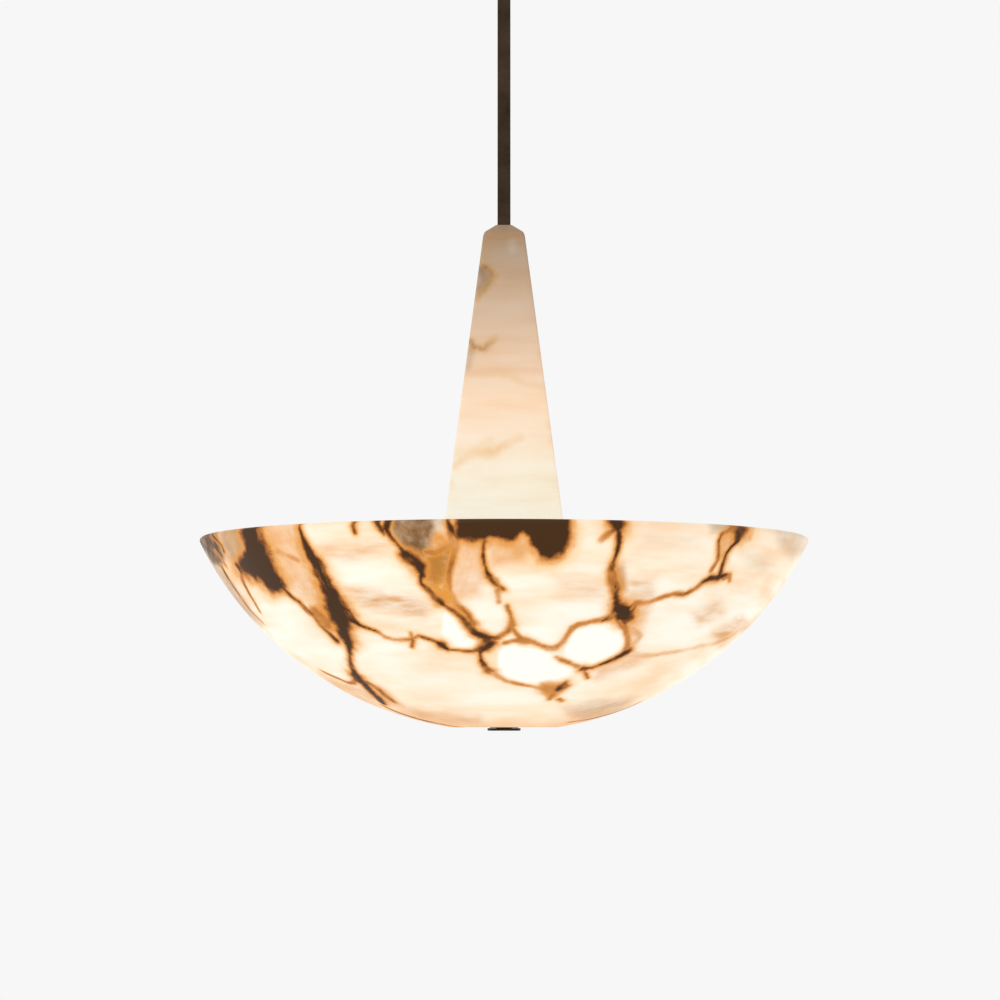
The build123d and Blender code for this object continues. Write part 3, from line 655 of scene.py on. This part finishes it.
outward = outward / np.linalg.norm(outward, axis=1)[:, None]
on_sphere = bowl_centre + bowl_sphere * outward
to_eye = eye - on_sphere
facing = (outward * to_eye).sum(axis=1) / np.linalg.norm(to_eye, axis=1)
# Where these points lie in the picture: the offsets right and up over the offset ahead.
ahead = -to_eye @ view_forward
bowl_places = np.stack([picture_size / 2 - focal_pixels * (to_eye @ view_right) / ahead,
                        picture_size / 2 + focal_pixels * (to_eye @ view_up) / ahead], -1)
# Past the silhouette an outline's gap grows by this much, so that its stain fades out there.
fade_past_silhouette = 250.0


def on_bowl(picture_points):
    """Points where sight lines meet the bowl's outer sphere, or come nearest to it."""
    lines = sight_lines(picture_points)
    offset = eye - bowl_centre
    along_line = -(lines @ offset)
    inside = np.maximum(along_line ** 2 - offset @ offset + bowl_sphere ** 2, 0.0)
    return eye + (along_line - np.sqrt(inside))[:, None] * lines


def outline_gap(outline):
    """Distance in the picture from the bowl's points to a closed outline, negative inside it. A point
    is inside when a line from it to the right crosses the outline an odd number of times."""
    corners = np.array(outline, float)
    gap = np.full(len(bowl_places), np.inf)
    inside = np.zeros(len(bowl_places), bool)
    for start, end in zip(corners, np.roll(corners, -1, axis=0)):
        step = end - start
        share = np.clip((bowl_places - start) @ step / (step @ step), 0, 1)
        gap = np.minimum(gap, np.linalg.norm(bowl_places - start - share[:, None] * step, axis=1))
        spans = (start[1] > bowl_places[:, 1]) != (end[1] > bowl_places[:, 1])
        crossing = start[0] + (bowl_places[:, 1] - start[1]) * step[0] / (step[1] or 1e-9)
        inside ^= spans & (bowl_places[:, 0] < crossing)
    return np.where(inside, -gap, gap) + fade_past_silhouette * np.maximum(-facing, 0.0)


# Veins of the front, as points of the picture, half widths in millimetres, and a tone from 0, a faint
# amber line, to 1, a vein with a dark core. Over 1 a vein stays dark where its tone is patchy, too.
bowl_strokes = [
    # left tip and the veins that run along the left silhouette
    ([(211, 534), (217, 540), (222, 546), (224, 552)], [1.6, 1.8, 1.2, 0.5], 0.85),
    ([(216, 552), (221, 558), (226, 566)], [0.5, 1.0, 0.7], 0.7),
    ([(222, 567), (228, 578), (236, 590), (243, 600), (250, 610), (262, 622)],
     [0.8, 1.2, 1.2, 1.1, 0.8, 0.4], 0.8),
    ([(236, 565), (241, 572), (243, 582), (250, 595), (255, 603), (260, 612)],
     [1.2, 0.9, 0.8, 0.7, 0.5, 0.3], 0.75),
    ([(205, 552), (213, 567), (222, 582), (233, 598), (246, 614), (262, 632)],
     [1.5, 1.5, 1.2, 1.0, 0.6, 0.3], 0.5),
    # tail of the big dark patch, down to the main vein
    ([(276, 580), (283, 588), (292, 597), (300, 603), (308, 611), (315, 617), (320, 625), (330, 634),
      (337, 641)],
     [0.8, 1.2, 1.1, 1.2, 1.0, 1.1, 1.0, 1.6, 2.2], 0.85),
    ([(258, 550), (266, 553), (280, 552), (290, 557), (298, 560)], [0.2, 0.2, 0.1, 0.3, 0.4], 0.3),
    # main vein of the left half
    ([(298, 524), (301, 533), (304, 541), (308, 550), (312, 557), (318, 565), (321, 574), (326, 584),
      (331, 594)],
     [0.4, 0.7, 1.8, 3.0, 4.0, 4.4, 5.6, 6.4, 6.8], 1.2),
    ([(331, 594), (335, 604), (338, 614), (341, 624), (345, 636), (349, 646)],
     [6.4, 9.4, 10.4, 8.4, 6.0, 3.0], 1.6),
    ([(349, 646), (350, 654), (350, 662), (353, 670)], [2.2, 1.0, 0.8, 1.6], 0.9),
    ([(353, 671), (357, 677), (362, 682)], [1.8, 5.0, 4.0], 1.2),
    ([(364, 683), (371, 691), (378, 698), (384, 704)], [2.8, 3.0, 3.4, 1.2], 1.2),
    ([(368, 683), (378, 689), (386, 696), (394, 702)], [1.6, 2.0, 2.2, 0.8], 0.7),
    ([(384, 706), (397, 712), (415, 718), (430, 722), (445, 725), (458, 727), (470, 728)],
     [1.4, 1.8, 2.4, 3.0, 2.6, 2.0, 0.5], 0.9),
    ([(322, 671), (330, 675), (340, 679), (348, 683), (353, 683), (356, 679)],
     [0.2, 0.3, 0.3, 0.4, 0.5, 0.8], 0.6),
    ([(315, 611), (320, 617), (326, 624)], [3.0, 5.4, 4.4], 0.5),
    # branch to the right, to the node under the small clear cell
    ([(345, 612), (352, 620), (360, 625), (370, 629), (378, 632)], [5.0, 2.8, 1.4, 0.8, 0.5], 1.0),
    ([(378, 632), (385, 637), (392, 639), (400, 640), (412, 639)], [0.3, 0.3, 0.3, 0.4, 0.8], 0.45),
    ([(412, 639), (418, 636), (428, 639), (437, 642)], [0.7, 0.3, 0.4, 0.8], 0.75),
    ([(411, 633), (413, 640), (412, 647)], [0.1, 0.7, 0.1], 0.6),
    ([(436, 642), (442, 645), (448, 649)], [0.8, 2.8, 1.2], 1.0),
    ([(448, 649), (455, 650), (463, 651), (474, 651), (482, 649)], [0.6, 0.4, 0.5, 1.0, 2.4], 0.85),
    # small marks at the rim
    ([(353, 519), (353, 526), (355, 533)], [0.7, 1.0, 0.2], 0.95),
    ([(375, 520), (380, 527), (384, 534)], [0.9, 0.7, 0.2], 0.7),
    # diagonal vein from the rim to the centre node
    ([(388, 519), (386, 529), (391, 537), (399, 546), (406, 554)], [2.0, 1.6, 0.8, 0.9, 2.2], 0.9),
    ([(406, 554), (413, 560), (419, 567), (423, 575)], [3.6, 4.8, 4.6, 1.6], 1.2),
    ([(421, 572), (421, 583), (428, 589), (434, 597), (440, 602), (445, 606)],
     [0.9, 0.7, 1.1, 2.0, 2.8, 0.8], 0.9),
    ([(445, 606), (455, 612), (463, 619), (469, 626)], [0.6, 1.0, 1.6, 2.6], 0.75),
    ([(468, 625), (474, 632), (481, 636), (490, 638), (499, 637)], [1.8, 2.4, 2.2, 1.6, 0.6], 1.0),
    # right side of the orange cell
    ([(451, 533), (456, 541), (454, 555), (449, 572), (450, 590), (458, 605), (468, 614), (473, 624)],
     [1.0, 1.0, 0.6, 0.5, 0.5, 0.7, 0.9, 1.6], 0.5),
    ([(447, 520), (451, 528), (452, 536)], [0.7, 1.2, 0.6], 0.9),
    ([(426, 552), (436, 553), (447, 546), (453, 538)], [0.5, 0.5, 0.5, 0.7], 0.55),
    # vein below the dark rim band and the U-shaped cell
    ([(484, 540), (483, 552), (484, 562), (487, 572), (493, 581), (503, 589)],
     [1.6, 0.6, 0.5, 0.6, 1.0, 0.6], 0.85),
    ([(488, 577), (496, 580), (500, 588)], [0.3, 0.3, 0.3], 0.5),
    ([(498, 590), (499, 602)], [0.3, 0.1], 0.5),
    ([(507, 606), (511, 616), (512, 625), (508, 631), (500, 636), (492, 639)],
     [0.3, 0.6, 1.4, 0.8, 0.8, 1.2], 0.62),
    ([(511, 627), (517, 634), (524, 640)], [0.5, 0.2, 0.9], 0.5),
    # centre node and its arms
    ([(484, 638), (489, 643), (484, 648), (480, 652)], [1.6, 3.4, 3.0, 1.2], 1.0),
    ([(480, 652), (481, 660), (485, 667), (489, 671)], [0.8, 0.6, 1.2, 2.6], 0.95),
    ([(489, 671), (497, 676), (506, 681), (520, 684), (541, 688)], [1.6, 0.6, 0.4, 0.3, 0.5], 0.38),
    ([(505, 643), (514, 641), (524, 640)], [0.2, 0.2, 1.0], 0.55),
    ([(524, 640), (533, 642), (540, 645), (548, 648), (555, 648), (562, 643)],
     [2.0, 0.8, 0.6, 0.9, 1.0, 0.4], 0.62),
    # outline of the right clear cell
    ([(562, 643), (568, 634), (572, 628), (578, 625), (590, 622), (603, 619)],
     [0.3, 0.3, 0.4, 0.5, 0.6, 1.6], 0.4),
    ([(620, 620), (625, 628), (628, 640), (628, 648)], [1.4, 0.7, 0.6, 1.6], 0.5),
    ([(628, 651), (622, 655), (612, 660), (602, 664), (592, 668), (583, 669)],
     [2.2, 1.4, 1.1, 1.0, 1.2, 2.6], 1.0),
    ([(583, 669), (586, 674), (588, 678)], [1.0, 0.6, 0.2], 0.8),
    ([(578, 667), (570, 663), (562, 660), (556, 657)], [1.0, 0.5, 0.4, 0.2], 0.42),
    ([(630, 646), (636, 642), (640, 637), (636, 632), (630, 630)], [0.4, 0.4, 0.3, 0.3, 0.2], 0.25),
    # right vein from the rim to the dark node
    ([(617, 524), (619, 532), (619, 542), (617, 552), (613, 562), (611, 571)],
     [4.0, 2.0, 1.0, 0.8, 1.2, 1.6], 1.0),
    ([(614, 530), (608, 534), (601, 540)], [1.2, 0.9, 0.4], 0.5),
    ([(611, 571), (614, 581), (616, 592), (617, 602)], [1.8, 2.4, 2.0, 3.0], 0.8),
    ([(616, 613), (608, 618), (602, 621)], [1.2, 1.8, 0.5], 0.95),
    ([(630, 610), (636, 603), (648, 602), (660, 598), (673, 594)], [2.0, 0.9, 0.5, 0.4, 0.3], 0.45),
    ([(672, 594), (685, 594), (695, 589), (704, 581)], [0.3, 0.5, 0.7, 1.1], 0.58),
    ([(703, 582), (710, 578), (719, 577), (726, 575)], [0.8, 1.8, 2.0, 0.5], 1.0),
    ([(719, 577), (721, 570), (723, 563), (726, 554), (731, 547), (739, 540)],
     [1.6, 1.4, 1.1, 0.6, 0.5, 0.9], 0.9),
    ([(731, 529), (722, 534), (719, 541), (719, 550), (718, 560), (711, 571)],
     [0.8, 0.7, 0.4, 0.4, 0.5, 0.6], 0.75),
    ([(724, 578), (729, 575), (730, 581)], [0.6, 0.3, 0.1], 0.6),
    # orange line that closes the lower right
    ([(632, 654), (650, 656), (665, 653), (680, 651), (700, 646), (715, 643), (728, 638), (738, 631)],
     [0.9, 0.4, 0.4, 0.5, 0.4, 0.5, 0.4, 0.3], 0.22),
    # brown node near the foot, and the lower right silhouette
    ([(544, 687), (549, 689), (553, 692)], [3.2, 4.6, 3.8], 0.38),
    ([(557, 690), (562, 686), (566, 682)], [2.6, 3.4, 1.4], 1.2),
    ([(553, 694), (550, 699)], [2.0, 0.6], 0.6),
    ([(559, 699), (562, 701)], [0.7, 0.6], 0.9),
    ([(570, 722), (590, 719), (610, 714), (625, 709), (640, 702)], [0.6, 1.8, 2.2, 1.6, 0.3], 0.7),
]
# Opaque brown stone of the front: a tone and an outline in the picture. Its stain reaches in and out
# by smoke_reach picture units, which are nearly millimetres at the lamp.
smoke_reach = 13.0
bowl_smoke = [
    (1.7, [
        (243, 522), (255, 522), (259, 540), (264, 548), (268, 558), (272, 567), (277, 577), (282, 587),
        (274, 590), (266, 584), (258, 579), (250, 576), (243, 571), (238, 565), (243, 557), (246, 546),
        (243, 532)]),
    (1.7, [
        (456, 512), (570, 512), (569, 540), (563, 552), (558, 554), (550, 558), (541, 557), (535, 550),
        (531, 544), (530, 536), (524, 531), (518, 533), (513, 540), (505, 539), (498, 536), (490, 536),
        (485, 543), (480, 540), (473, 539), (466, 537), (459, 537)]),
    (1.5, [
        (615, 603), (622, 605), (627, 607), (631, 611), (629, 616), (624, 620), (618, 618),
        (614, 612)]),
    (0.98, [(611, 519), (624, 519), (621, 530), (614, 530)]),
    (0.95, [(735, 524), (747, 526), (743, 535), (738, 538)]),
]
# Patches of the front: kind, softness in picture units, strength and outline. Brown is clouded stone,
# amber is stained, clear is clearer stone painted near white as painted glow where most light comes
# through, and shade is crossed by faint level brown streaks.
bowl_patches = [
    ("brown", 9, 0.96, [
        (190, 532), (214, 524), (219, 541), (224, 556), (222, 568), (212, 564), (202, 550)]),
    ("brown", 9, 0.4, [
        (215, 524), (244, 522), (244, 543), (245, 552), (236, 565), (228, 558), (222, 545)]),
    ("brown", 8, 0.42, [
        (200, 552), (214, 560), (226, 574), (244, 600), (262, 626), (238, 610), (212, 582)]),
    ("amber", 14, 0.7, [
        (254, 522), (262, 524), (272, 548), (283, 572), (292, 594), (280, 594), (266, 568),
        (257, 545)]),
    ("amber", 9, 0.25, [
        (206, 530), (244, 522), (245, 552), (236, 565), (262, 626), (238, 610), (212, 582)]),
    ("amber", 14, 0.55, [
        (258, 524), (294, 522), (302, 556), (318, 590), (330, 612), (304, 602), (284, 586),
        (266, 564)]),
    ("amber", 11, 0.75, [
        (290, 520), (300, 520), (308, 548), (316, 565), (324, 582), (332, 600), (320, 602), (309, 586),
        (300, 568), (294, 550)]),
    ("amber", 8, 1.0, [(313, 604), (324, 602), (334, 616), (338, 632), (327, 631), (317, 619)]),
    ("amber", 9, 0.6, [
        (318, 672), (352, 685), (366, 690), (384, 709), (364, 708), (344, 696), (326, 682)]),
    ("amber", 10, 0.65, [(368, 682), (386, 690), (404, 706), (388, 706), (376, 697)]),
    ("amber", 14, 0.42, [
        (340, 690), (400, 710), (470, 722), (540, 724), (600, 716), (600, 730), (470, 732),
        (400, 722)]),
    ("brown", 12, 0.8, [
        (388, 514), (430, 514), (436, 526), (430, 540), (428, 552), (420, 564), (412, 556), (402, 546),
        (392, 534)]),
    ("brown", 14, 0.36, [(420, 514), (452, 514), (452, 524), (444, 528), (430, 530)]),
    ("amber", 12, 0.6, [(388, 514), (436, 514), (428, 552), (420, 564), (402, 546)]),
    ("amber", 10, 0.8, [(424, 536), (436, 530), (449, 534), (450, 544), (440, 552), (428, 554)]),
    ("amber", 8, 1.0, [
        (426, 556), (440, 548), (454, 540), (456, 552), (451, 570), (450, 590), (458, 604), (469, 614),
        (475, 626), (462, 620), (446, 605), (434, 595), (424, 586), (420, 572)]),
    ("brown", 12, 0.36, [(426, 552), (452, 544), (450, 576), (434, 584), (422, 574)]),
    ("amber", 16, 0.5, [
        (450, 536), (484, 536), (484, 560), (490, 578), (478, 594), (460, 600), (452, 590),
        (450, 565)]),
    ("amber", 14, 0.6, [(488, 534), (518, 530), (534, 548), (524, 562), (492, 566)]),
    ("clear", 5, 1.0, [
        (445, 607), (455, 613), (464, 621), (472, 631), (476, 642), (470, 648), (458, 648), (447, 644),
        (442, 632), (443, 618)]),
    ("clear", 14, 0.55, [
        (476, 600), (502, 598), (508, 612), (508, 626), (500, 633), (488, 633), (475, 624),
        (470, 612)]),
    ("clear", 5, 1.0, [
        (498, 654), (504, 645), (514, 645), (528, 648), (542, 648), (556, 658), (566, 663), (577, 668),
        (574, 674), (560, 678), (546, 683), (522, 682), (506, 678), (498, 668)]),
    ("clear", 5, 1.0, [
        (566, 645), (573, 631), (582, 627), (604, 623), (622, 625), (626, 634), (626, 646), (612, 657),
        (598, 663), (586, 666), (574, 664), (564, 656)]),
    ("clear", 26, 0.5, [
        (520, 618), (550, 608), (574, 612), (568, 628), (558, 644), (540, 642), (526, 634)]),
    ("clear", 26, 0.55, [
        (264, 604), (286, 604), (306, 620), (330, 644), (344, 664), (342, 676), (322, 664), (296, 644),
        (272, 624)]),
    ("clear", 24, 0.32, [(340, 566), (410, 564), (418, 586), (390, 588), (348, 584)]),
    ("clear", 34, 0.32, [
        (372, 656), (440, 662), (476, 672), (500, 690), (530, 694), (530, 700), (440, 700),
        (390, 684)]),
    ("clear", 34, 0.2, [(640, 618), (700, 600), (740, 600), (720, 630), (680, 646), (640, 646)]),
    ("brown", 9, 0.3, [(610, 566), (623, 566), (626, 590), (616, 594), (609, 580)]),
    ("amber", 9, 0.6, [(610, 560), (624, 562), (628, 592), (616, 596), (609, 580)]),
    ("amber", 14, 0.55, [(614, 594), (640, 598), (652, 606), (642, 628), (634, 644), (626, 622)]),
    ("amber", 14, 0.5, [(596, 668), (632, 654), (652, 654), (638, 664), (614, 674), (594, 680)]),
    ("amber", 7, 1.0, [
        (540, 683), (550, 681), (560, 683), (564, 690), (556, 699), (547, 697), (541, 691)]),
    ("brown", 10, 0.36, [(708, 518), (740, 520), (736, 531), (712, 532)]),
    ("amber", 9, 0.7, [(720, 534), (735, 530), (742, 537), (733, 549), (726, 562), (719, 558)]),
    ("brown", 18, 0.13, [(744, 552), (772, 554), (770, 574), (748, 572)]),
    ("brown", 14, 0.26, [(776, 528), (808, 532), (804, 552), (792, 560), (780, 548)]),
    ("shade", 18, 0.8, [
        (336, 586), (372, 590), (410, 596), (436, 606), (424, 618), (390, 612), (360, 608),
        (340, 600)]),
    ("shade", 18, 0.5, [(312, 546), (350, 542), (392, 540), (396, 552), (350, 562), (318, 562)]),
    ("shade", 22, 0.36, [(556, 576), (604, 580), (604, 598), (562, 598)]),
    ("shade", 16, 0.55, [(630, 578), (654, 578), (654, 598), (628, 600)]),
    ("clear", 30, 0.3, [(632, 526), (700, 530), (706, 562), (640, 556)]),
    ("shade", 22, 0.22, [(636, 528), (700, 532), (700, 548), (640, 548)]),
    ("shade", 16, 0.65, [(692, 614), (720, 600), (724, 612), (700, 626)]),
    ("shade", 14, 0.8, [(712, 632), (742, 616), (748, 626), (720, 646)]),
    ("amber", 14, 0.4, [(560, 706), (590, 700), (640, 697), (622, 716), (570, 724)]),
    ("brown", 12, 0.24, [(568, 712), (590, 702), (632, 699), (622, 712), (584, 721)]),
    ("shade", 14, 0.6, [(396, 706), (440, 712), (480, 716), (484, 726), (440, 724), (402, 716)]),
]
# Grown veins: the azimuths where they start, their half widths in millimetres, and how often one is
# edged with amber, starts with a knot, or runs below clear stone painted near white as painted glow.
grown_azimuths = (math.radians(100), math.radians(260))
grown_half_widths = (0.8, 4.0)
amber_chance, knot_chance, clear_chance = 0.6, 0.25, 0.35


def grown_veins(rng, count):
    """Veins for the sides that the picture doesn't show. Each starts at a random azimuth behind the
    bowl, wanders down and sideways over the sphere, and sends off one to three branches. Azimuth runs
    faster than arc length where the bowl is narrow."""
    veins, marks = [], []
    for _ in range(count):
        azimuth = rng.uniform(*grown_azimuths)
        angle = rng.uniform(0.55, 1.0) * outer_touch
        heading = rng.uniform(-2.4, -0.7)
        size = rng.uniform(*grown_half_widths)
        start = np.array([azimuth, angle])
        for _ in range(rng.integers(2, 5)):
            steps = rng.integers(5, 12)
            flat = wandering_line(rng, start, heading, steps, stride=0.06, turn=0.34)
            flat[:, 1] = np.clip(flat[:, 1], foot_angle, outer_touch + 0.02)
            out = np.sin(flat[:, 1])
            turn = start[0] + (flat[:, 0] - start[0]) / np.maximum(out, 0.35)
            direction = np.stack([out * np.sin(turn), -out * np.cos(turn), -np.cos(flat[:, 1])], -1)
            line = bowl_centre + bowl_sphere * direction
            fade = np.linspace(1.0, 0.15, len(line)) * rng.uniform(0.5, 1.2, len(line))
            # A vein ends where it comes round to the front or close to the foot.
            behind = (line[:, 1] > 0.02) & (flat[:, 1] > 2 * foot_angle)
            last = len(line) if behind.all() else int(np.argmin(behind))
            if last > 2:
                tone = float(np.clip(size / 4 + 0.3, 0.4, 1.0))
                veins.append((line[:last], size * fade[:last] * MM, tone))
                if rng.random() < amber_chance:
                    marks.append(("amber", line[:last], 12.0, 0.6))
                if rng.random() < knot_chance:
                    veins.append((line[:3], size * np.array([2.5, 3.0, 1.0]) * MM, 1.0))
                if rng.random() < clear_chance:
                    raised = line[last // 2:last] + np.array([0.0, 0.0, 0.02])
                    marks.append(("clear", raised, 40.0, 0.6))
            pick = rng.integers(1, steps)
            start = np.array([turn[pick], flat[pick, 1]])
            heading += rng.choice([-1.0, 1.0]) * rng.uniform(0.5, 1.2)
            size *= rng.uniform(0.5, 0.8)
    return veins, marks


behind_veins, behind_marks = grown_veins(np.random.default_rng(31), count=11)
bowl_veins = [(on_bowl(line), np.array(widths) * MM, tone) for line, widths, tone in bowl_strokes]
bowl_veins += behind_veins
bowl_fields = vein_fields(
    [stroke_share(on_sphere, line, widths) for line, widths, _ in bowl_veins]
    + [outline_gap(outline) / smoke_reach for _, outline in bowl_smoke],
    [tone for _, _, tone in bowl_veins] + [tone for tone, _ in bowl_smoke])
for kind, softness, strength, outline in bowl_patches:
    patch = soft_patch(outline_gap(outline), softness, strength)
    bowl_fields[kind] = np.maximum(bowl_fields.get(kind, 0.0), patch)
for kind, line, softness, strength in behind_marks:
    gap = stroke_share(on_sphere, line, np.zeros(len(line))) * stain_base / MM
    bowl_fields[kind] = np.maximum(bowl_fields[kind], soft_patch(gap, softness, strength))

bowl_clouds = [(0.32, "#FBDBB8"), (0.48, "#FEEBD2"), (0.62, "#FFF7E8")]
bowl_body = [(0.0, "#FFEFDC"), (0.12, "#FFFBF4"), (0.6, "#FFFFFF"), (0.85, "#FFFAF3"), (1.0, "#FCF0E4")]
bowl_light = [(0.0, 0.95), (0.1, 1.0), (0.7, 1.0), (0.97, 1.0), (1.0, 0.8)]
bowl_bands = [("#F9CB8E", 1.6, 0.15, 0.0, 0.7, 0.85), ("#DD9140", 0.86, 0.1, 0.0, 0.42, 0.95),
              ("#8A4E20", 0.34, 0.0, 0.2, 0.8, 0.97), ("#3F2710", 0.08, -0.12, 0.5, 0.88, 0.97)]
bowl_stone = alabaster("turned_alabaster_bowl", glow_strength=0.66, albedo=0.55, clouds=bowl_clouds,
                       body_stops=bowl_body, light_stops=bowl_light,
                       reach=(bowl_low[2], bowl_high[2]), bands=bowl_bands)
bowl = surface("alabaster_bowl_stone", bowl_points,
               grid_faces(len(profile), bowl_columns, close_rows=True, close_columns=True),
               bowl_stone, "pendant")
store_fields(bowl, bowl_fields)
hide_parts("alabaster_bowl")

# ---- Bowl fixing
# A powder-coated square spacer sets the lamps' height over a zinc-plated washer, rubber rings guard
# the stone on both sides, and the turned disc of darkened brass below screws onto the tube.
finish_nodes(powder_coat, "spacer_tube")
finish_nodes(zinc_plate, "steel_washer")
finish_nodes(epdm_rubber, "upper_gasket", "lower_gasket")
finish_nodes(darkened_brass, "finial")

bpy.context.scene.view_settings.view_transform = "Standard"
